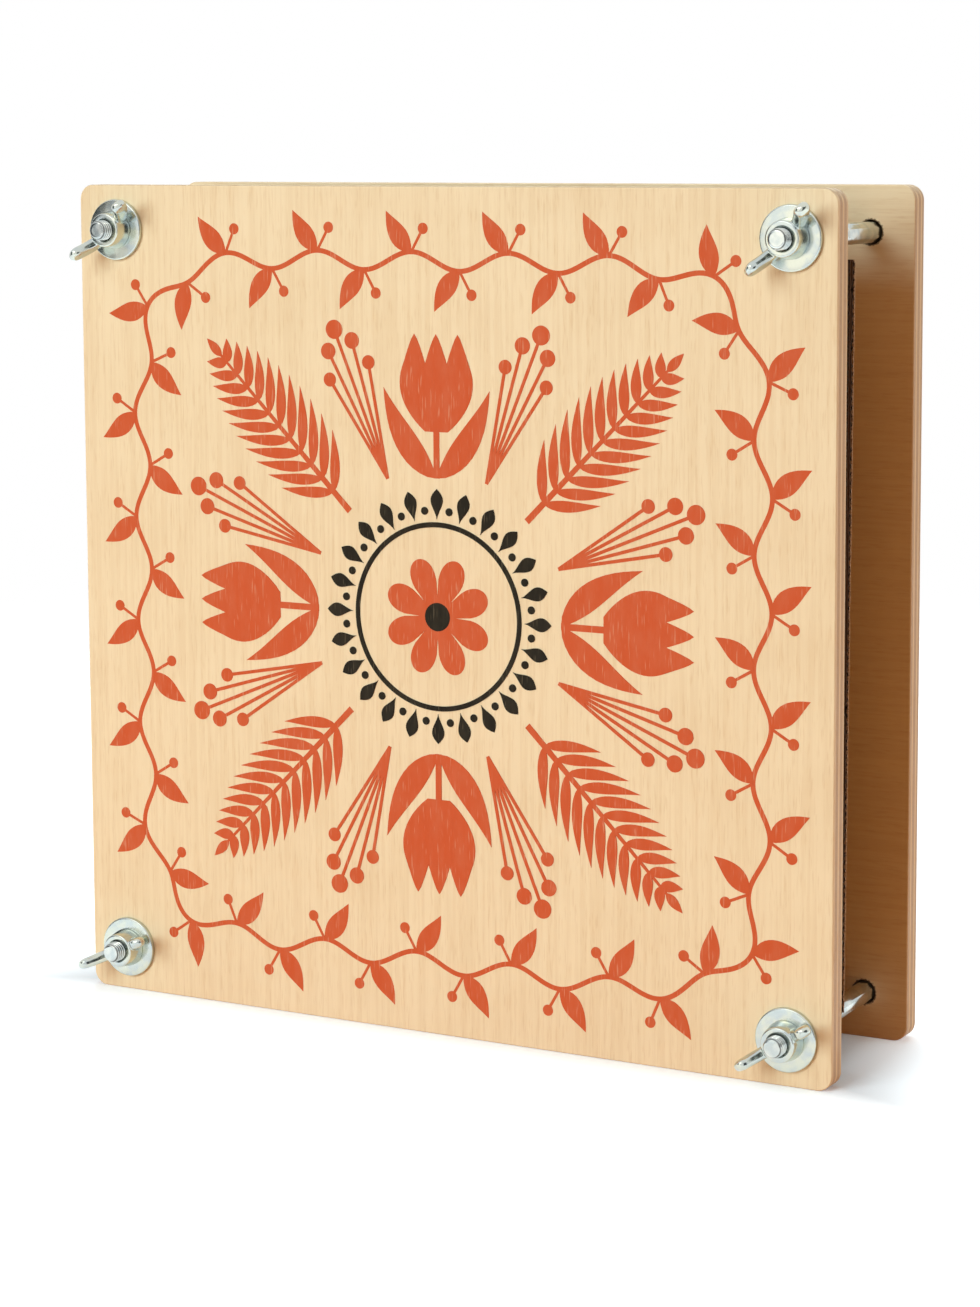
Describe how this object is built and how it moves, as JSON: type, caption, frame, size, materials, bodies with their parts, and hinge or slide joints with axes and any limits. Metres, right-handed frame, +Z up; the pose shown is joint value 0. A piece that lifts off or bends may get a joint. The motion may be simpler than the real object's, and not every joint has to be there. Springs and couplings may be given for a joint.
{
  "type": "flower press",
  "caption": "Square plywood flower press on carriage bolts with wing nuts and washers at its corners, closing on a pack of corrugated cards and blotting papers.",
  "frame": {"origin": "under the middle of the whole press, on the surface that the two boards' lower edges stand on", "axes": "+X to the right as seen from the front, +Y along the bolts from the front board to the back board, +Z up"},
  "size_m": [0.203, 0.0646, 0.203],
  "materials": {
    "plywood": "sanded birch plywood, satin, printed on the front face",
    "zinc_steel": "bright zinc plate",
    "corrugated_card": "brown kraft, matt",
    "blotting_paper": "soft uncoated off-white"
  },
  "bodies": {
    "back_frame": {"back_board": "plywood", "bolt_top_left": "zinc_steel", "bolt_top_right": "zinc_steel", "bolt_bottom_left": "zinc_steel", "bolt_bottom_right": "zinc_steel"},
    "front_board": {"front_board": "plywood"},
    "washer_top_left": {"washer_top_left": "zinc_steel"},
    "wing_nut_top_left": {"wing_nut_top_left": "zinc_steel"},
    "washer_top_right": {"washer_top_right": "zinc_steel"},
    "wing_nut_top_right": {"wing_nut_top_right": "zinc_steel"},
    "washer_bottom_left": {"washer_bottom_left": "zinc_steel"},
    "wing_nut_bottom_left": {"wing_nut_bottom_left": "zinc_steel"},
    "washer_bottom_right": {"washer_bottom_right": "zinc_steel"},
    "wing_nut_bottom_right": {"wing_nut_bottom_right": "zinc_steel"},
    "card_1": {"card_1": "corrugated_card"},
    "card_2": {"card_2": "corrugated_card"},
    "card_3": {"card_3": "corrugated_card"},
    "card_4": {"card_4": "corrugated_card"},
    "card_5": {"card_5": "corrugated_card"},
    "blotter_1": {"blotter_1": "blotting_paper"},
    "blotter_2": {"blotter_2": "blotting_paper"},
    "blotter_3": {"blotter_3": "blotting_paper"},
    "blotter_4": {"blotter_4": "blotting_paper"},
    "blotter_5": {"blotter_5": "blotting_paper"},
    "blotter_6": {"blotter_6": "blotting_paper"},
    "blotter_7": {"blotter_7": "blotting_paper"},
    "blotter_8": {"blotter_8": "blotting_paper"}
  },
  "joints": [
    {"name": "slide_front_board", "type": "slide", "parent": "back_frame", "child": "front_board", "axis": [0, 1, 0], "range_m": [-0.0064, 0.028]},
    {"name": "slide_washer_top_left", "type": "slide", "parent": "back_frame", "child": "washer_top_left", "axis": [0, 1, 0], "range_m": [-0.00641, 0.02801]},
    {"name": "turn_wing_nut_top_left", "type": "hinge", "parent": "washer_top_left", "child": "wing_nut_top_left", "pos_m": [-0.0905, -0.0233, 0.192], "axis": [0, 1, 0], "range_deg": [-2884, 12604]},
    {"name": "slide_washer_top_right", "type": "slide", "parent": "back_frame", "child": "washer_top_right", "axis": [0, 1, 0], "range_m": [-0.00641, 0.02801]},
    {"name": "turn_wing_nut_top_right", "type": "hinge", "parent": "washer_top_right", "child": "wing_nut_top_right", "pos_m": [0.0905, -0.0233, 0.192], "axis": [0, 1, 0], "range_deg": [-2884, 12604]},
    {"name": "slide_washer_bottom_left", "type": "slide", "parent": "back_frame", "child": "washer_bottom_left", "axis": [0, 1, 0], "range_m": [-0.00641, 0.02801]},
    {"name": "turn_wing_nut_bottom_left", "type": "hinge", "parent": "washer_bottom_left", "child": "wing_nut_bottom_left", "pos_m": [-0.0905, -0.0233, 0.011], "axis": [0, 1, 0], "range_deg": [-2884, 12604]},
    {"name": "slide_washer_bottom_right", "type": "slide", "parent": "back_frame", "child": "washer_bottom_right", "axis": [0, 1, 0], "range_m": [-0.00641, 0.02801]},
    {"name": "turn_wing_nut_bottom_right", "type": "hinge", "parent": "washer_bottom_right", "child": "wing_nut_bottom_right", "pos_m": [0.0905, -0.0233, 0.011], "axis": [0, 1, 0], "range_deg": [-2884, 12604]},
    {"name": "slide_card_1", "type": "slide", "parent": "back_frame", "child": "card_1", "axis": [0, 1, 0], "range_m": [-0.00641, 0.02801]},
    {"name": "slide_card_2", "type": "slide", "parent": "back_frame", "child": "card_2", "axis": [0, 1, 0], "range_m": [-0.00641, 0.02801]},
    {"name": "slide_card_3", "type": "slide", "parent": "back_frame", "child": "card_3", "axis": [0, 1, 0], "range_m": [-0.00641, 0.02801]},
    {"name": "slide_card_4", "type": "slide", "parent": "back_frame", "child": "card_4", "axis": [0, 1, 0], "range_m": [-0.00641, 0.02801]},
    {"name": "slide_card_5", "type": "slide", "parent": "back_frame", "child": "card_5", "axis": [0, 1, 0], "range_m": [-0.00641, 0.02801]},
    {"name": "slide_blotter_1", "type": "slide", "parent": "back_frame", "child": "blotter_1", "axis": [0, 1, 0], "range_m": [-0.00641, 0.02801]},
    {"name": "slide_blotter_2", "type": "slide", "parent": "back_frame", "child": "blotter_2", "axis": [0, 1, 0], "range_m": [-0.00641, 0.02801]},
    {"name": "slide_blotter_3", "type": "slide", "parent": "back_frame", "child": "blotter_3", "axis": [0, 1, 0], "range_m": [-0.00641, 0.02801]},
    {"name": "slide_blotter_4", "type": "slide", "parent": "back_frame", "child": "blotter_4", "axis": [0, 1, 0], "range_m": [-0.00641, 0.02801]},
    {"name": "slide_blotter_5", "type": "slide", "parent": "back_frame", "child": "blotter_5", "axis": [0, 1, 0], "range_m": [-0.00641, 0.02801]},
    {"name": "slide_blotter_6", "type": "slide", "parent": "back_frame", "child": "blotter_6", "axis": [0, 1, 0], "range_m": [-0.00641, 0.02801]},
    {"name": "slide_blotter_7", "type": "slide", "parent": "back_frame", "child": "blotter_7", "axis": [0, 1, 0], "range_m": [-0.00641, 0.02801]},
    {"name": "slide_blotter_8", "type": "slide", "parent": "back_frame", "child": "blotter_8", "axis": [0, 1, 0], "range_m": [-0.00641, 0.02801]}
  ],
  "couplings": [
    {"joint": "slide_washer_top_left", "follows": "slide_front_board", "ratio": 1},
    {"joint": "turn_wing_nut_top_left", "follows": "slide_front_board", "rad_per_m": 7854},
    {"joint": "slide_washer_top_right", "follows": "slide_front_board", "ratio": 1},
    {"joint": "turn_wing_nut_top_right", "follows": "slide_front_board", "rad_per_m": 7854},
    {"joint": "slide_washer_bottom_left", "follows": "slide_front_board", "ratio": 1},
    {"joint": "turn_wing_nut_bottom_left", "follows": "slide_front_board", "rad_per_m": 7854},
    {"joint": "slide_washer_bottom_right", "follows": "slide_front_board", "ratio": 1},
    {"joint": "turn_wing_nut_bottom_right", "follows": "slide_front_board", "rad_per_m": 7854},
    {"joint": "slide_card_1", "follows": "slide_front_board", "ratio": 1},
    {"joint": "slide_card_2", "follows": "slide_front_board", "ratio": 1},
    {"joint": "slide_card_3", "follows": "slide_front_board", "ratio": 1},
    {"joint": "slide_card_4", "follows": "slide_front_board", "ratio": 1},
    {"joint": "slide_card_5", "follows": "slide_front_board", "ratio": 1},
    {"joint": "slide_blotter_1", "follows": "slide_front_board", "ratio": 1},
    {"joint": "slide_blotter_2", "follows": "slide_front_board", "ratio": 1},
    {"joint": "slide_blotter_3", "follows": "slide_front_board", "ratio": 1},
    {"joint": "slide_blotter_4", "follows": "slide_front_board", "ratio": 1},
    {"joint": "slide_blotter_5", "follows": "slide_front_board", "ratio": 1},
    {"joint": "slide_blotter_6", "follows": "slide_front_board", "ratio": 1},
    {"joint": "slide_blotter_7", "follows": "slide_front_board", "ratio": 1},
    {"joint": "slide_blotter_8", "follows": "slide_front_board", "ratio": 1}
  ]
}
